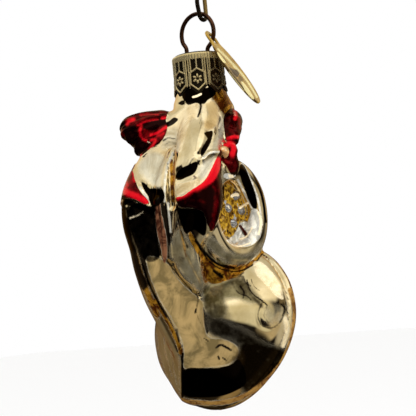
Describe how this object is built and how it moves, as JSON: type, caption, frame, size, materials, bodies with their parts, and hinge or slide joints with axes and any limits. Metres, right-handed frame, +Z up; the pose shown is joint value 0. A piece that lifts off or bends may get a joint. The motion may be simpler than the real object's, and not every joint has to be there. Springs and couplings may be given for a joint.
{
  "type": "french horn ornament",
  "caption": "Hanging blown-glass ornament shaped as a coiled horn with a ribbon bow, under a crown cap with a wire ring, oval tag and S-shaped hook.",
  "frame": {"origin": "inside of the upper crook of the wire hook, where the ornament hangs", "axes": "+Z up along the cap's axis, coils in the XZ plane with their front towards -Y, bell opening towards +X"},
  "size_m": [0.0372, 0.046, 0.1295],
  "materials": {
    "mirror_glass": "silvered champagne glass, red lacquer ribbons, gold glitter and amber lacquer in the grooves",
    "antique_brass": "aged stamped brass",
    "bronze_wire": "dark bronze wire",
    "gold_tag": "bright stamped gold metal",
    "hook_wire": "dull gold wire"
  },
  "bodies": {
    "root": {"glass_horn": "mirror_glass", "crown_cap": "antique_brass", "hanging_ring": "bronze_wire", "hang_tag": "gold_tag", "ornament_hook": "hook_wire"}
  },
  "joints": []
}
